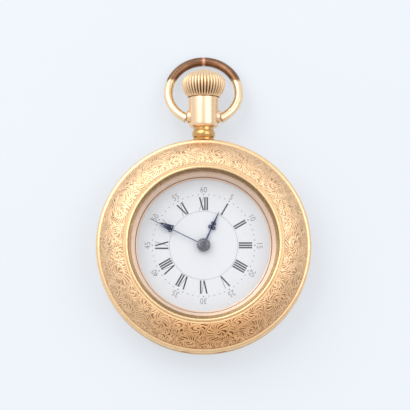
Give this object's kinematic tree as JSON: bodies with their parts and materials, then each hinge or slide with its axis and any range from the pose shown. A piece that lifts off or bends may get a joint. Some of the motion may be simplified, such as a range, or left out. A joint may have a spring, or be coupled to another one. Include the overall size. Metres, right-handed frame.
{
  "type": "half hunter pocket watch",
  "caption": "Half hunter pocket watch: engraved hinged cover with a round window over the dial, ribbed winding crown, swinging bow and keyless wound lever movement",
  "frame": {"origin": "centre of the flat middle of the back cover, where the closed watch rests on a table", "axes": "+Y from six to twelve o'clock, toward the crown and the bow; +Z out of the dial; +X toward three o'clock"},
  "size_m": [0.04, 0.0564, 0.0111],
  "materials": {
    "case_gold": "engraved and polished gold",
    "rose_gold": "satin rose gold",
    "bow_gold": "polished gold, worn dark at the top",
    "ring_gold": "rose gold slope ring",
    "watch_glass": "clear glass",
    "enamel": "white enamel",
    "blued_steel": "blued steel",
    "steel": "polished steel",
    "gilt_brass": "gilt brass",
    "ruby": "ruby",
    "balance_brass": "polished brass"
  },
  "bodies": {
    "case": {"case_band": "case_gold", "front_hinge_pin": "case_gold", "back_hinge_pin": "case_gold", "inner_bezel": "ring_gold", "inner_crystal": "watch_glass", "cuvette": "case_gold", "pendant": "rose_gold", "pendant_sleeve": "steel", "lift_spring": "steel", "lock_spring": "steel", "case_screws": "steel", "dial": "enamel", "dial_screws": "steel", "main_plate": "gilt_brass", "train_bridge": "gilt_brass", "barrel_bridge": "gilt_brass", "balance_cock": "gilt_brass", "pallet_bridge": "gilt_brass", "pallet_screw": "steel", "plate_jewels": "ruby", "bridge_jewels": "ruby", "plate_screws": "steel", "crown_wheel_screw": "steel", "click_spring": "steel"},
    "front_cover": {"front_cover": "case_gold", "window_bezel": "case_gold", "window_glass": "watch_glass"},
    "back_cover": {"back_cover": "case_gold"},
    "bow": {"bow": "bow_gold"},
    "winding_pinion": {"winding_pinion": "steel"},
    "crown": {"crown": "case_gold", "winding_stem": "steel"},
    "clutch": {"clutch": "steel"},
    "setting_lever": {"setting_lever": "steel"},
    "yoke": {"yoke": "steel"},
    "crown_wheel": {"crown_wheel": "steel"},
    "barrel_arbor": {"barrel_arbor": "steel", "ratchet_wheel": "steel", "ratchet_screw": "steel"},
    "barrel": {"barrel_drum": "gilt_brass", "barrel_cover": "gilt_brass", "mainspring": "steel"},
    "centre_wheel": {"centre_wheel": "gilt_brass"},
    "third_wheel": {"third_wheel": "gilt_brass"},
    "fourth_wheel": {"fourth_wheel": "gilt_brass"},
    "escape_wheel": {"escape_wheel": "steel"},
    "pallet": {"pallet_fork": "steel", "pallet_stones": "ruby"},
    "balance": {"balance_wheel": "balance_brass", "balance_staff": "steel", "hairspring": "steel"},
    "minute_hand": {"cannon_pinion": "steel", "minute_hand": "blued_steel"},
    "hour_hand": {"hour_wheel": "gilt_brass", "hour_hand": "blued_steel"},
    "minute_wheel": {"minute_wheel": "gilt_brass"},
    "intermediate_wheel": {"intermediate_wheel": "steel"},
    "setting_wheel": {"setting_wheel": "steel"},
    "click": {"click": "steel"},
    "regulator": {"regulator": "steel"}
  },
  "joints": [
    {"name": "front_cover_hinge", "type": "hinge", "parent": "case", "child": "front_cover", "pos_m": [0, -0.0196, 0.0058], "axis": [1, 0, 0], "range_deg": [0, 95]},
    {"name": "back_cover_hinge", "type": "hinge", "parent": "case", "child": "back_cover", "pos_m": [0, -0.0196, 0.0036], "axis": [-1, 0, 0], "range_deg": [0, 90]},
    {"name": "bow_swing", "type": "hinge", "parent": "case", "child": "bow", "pos_m": [0, 0.0244, 0.0047], "axis": [1, 0, 0], "range_deg": [-60, 100]},
    {"name": "winding_turn", "type": "hinge", "parent": "case", "child": "winding_pinion", "pos_m": [0, 0.01106, 0.0047], "axis": [0, 1, 0], "continuous": true},
    {"name": "crown_travel", "type": "slide", "parent": "winding_pinion", "child": "crown", "axis": [0, 1, 0], "range_m": [-0.0005, 0.0009]},
    {"name": "clutch_travel", "type": "slide", "parent": "winding_pinion", "child": "clutch", "axis": [0, 1, 0], "range_m": [-0.00045, 0]},
    {"name": "setting_lever_turn", "type": "hinge", "parent": "case", "child": "setting_lever", "pos_m": [0.0026, 0.01386, 0.006], "axis": [0, 0, 1], "range_deg": [-20, 11.5]},
    {"name": "yoke_turn", "type": "hinge", "parent": "case", "child": "yoke", "pos_m": [-0.0032, 0.01005, 0.0055], "axis": [0, 0, 1], "range_deg": [-8.5, 0]},
    {"name": "crown_wheel_turn", "type": "hinge", "parent": "case", "child": "crown_wheel", "pos_m": [0, 0.00896, 0.002], "axis": [0, 0, 1], "continuous": true},
    {"name": "ratchet_turn", "type": "hinge", "parent": "case", "child": "barrel_arbor", "pos_m": [-0.006, 0.00347, 0.002], "axis": [0, 0, 1], "continuous": true},
    {"name": "fourth_turn", "type": "hinge", "parent": "case", "child": "fourth_wheel", "pos_m": [0.00542, -0.00345, 0.0046], "axis": [0, 0, -1], "continuous": true},
    {"name": "centre_turn", "type": "hinge", "parent": "case", "child": "centre_wheel", "pos_m": [0, 0, 0.0035], "axis": [0, 0, -1], "continuous": true},
    {"name": "third_turn", "type": "hinge", "parent": "case", "child": "third_wheel", "pos_m": [0.0045, 0, 0.0042], "axis": [0, 0, -1], "continuous": true},
    {"name": "escape_turn", "type": "hinge", "parent": "case", "child": "escape_wheel", "pos_m": [0.00283, -0.00563, 0.0043], "axis": [0, 0, -1], "continuous": true},
    {"name": "barrel_turn", "type": "hinge", "parent": "case", "child": "barrel", "pos_m": [-0.006, 0.00347, 0.0044], "axis": [0, 0, -1], "continuous": true},
    {"name": "pallet_swing", "type": "hinge", "parent": "case", "child": "pallet", "pos_m": [0.00071, -0.00741, 0.0043], "axis": [0, 0, 1], "range_deg": [-5, 5]},
    {"name": "balance_swing", "type": "hinge", "parent": "case", "child": "balance", "pos_m": [-0.00175, -0.00946, 0.0032], "axis": [0, 0, 1], "range_deg": [-270, 270], "stiffness_Nm_per_rad": 0.00000026},
    {"name": "minute_turn", "type": "hinge", "parent": "case", "child": "minute_hand", "pos_m": [0, 0, 0.008], "axis": [0, 0, -1], "continuous": true},
    {"name": "hour_turn", "type": "hinge", "parent": "case", "child": "hour_hand", "pos_m": [0, 0, 0.0075], "axis": [0, 0, -1], "continuous": true},
    {"name": "minute_wheel_turn", "type": "hinge", "parent": "case", "child": "minute_wheel", "pos_m": [0, 0.0024, 0.0056], "axis": [0, 0, -1], "continuous": true},
    {"name": "intermediate_turn", "type": "hinge", "parent": "case", "child": "intermediate_wheel", "pos_m": [0, 0.0052, 0.0056], "axis": [0, 0, -1], "continuous": true},
    {"name": "setting_turn", "type": "hinge", "parent": "case", "child": "setting_wheel", "pos_m": [0, 0.0073, 0.0056], "axis": [0, 0, -1], "continuous": true},
    {"name": "click_turn", "type": "hinge", "parent": "case", "child": "click", "pos_m": [-0.00913, 0.00889, 0.002], "axis": [0, 0, 1], "range_deg": [0, 8]},
    {"name": "regulator_turn", "type": "hinge", "parent": "case", "child": "regulator", "pos_m": [-0.00175, -0.00946, 0.0019], "axis": [0, 0, 1], "range_deg": [-10, 10]}
  ],
  "couplings": [
    {"joint": "setting_lever_turn", "follows": "crown_travel", "rad_per_m": -384.62},
    {"joint": "yoke_turn", "follows": "clutch_travel", "rad_per_m": 312.5},
    {"joint": "crown_wheel_turn", "follows": "winding_turn", "ratio": 0.5},
    {"joint": "ratchet_turn", "follows": "winding_turn", "ratio": -0.34091},
    {"joint": "centre_turn", "follows": "fourth_turn", "ratio": 0.016667},
    {"joint": "third_turn", "follows": "fourth_turn", "ratio": -0.13333},
    {"joint": "escape_turn", "follows": "fourth_turn", "ratio": -10},
    {"joint": "barrel_turn", "follows": "fourth_turn", "ratio": -0.0027778},
    {"joint": "hour_turn", "follows": "minute_turn", "ratio": 0.083333},
    {"joint": "minute_wheel_turn", "follows": "minute_turn", "ratio": -0.33333},
    {"joint": "intermediate_turn", "follows": "minute_turn", "ratio": 0.6},
    {"joint": "setting_turn", "follows": "minute_turn", "ratio": -0.54545}
  ]
}
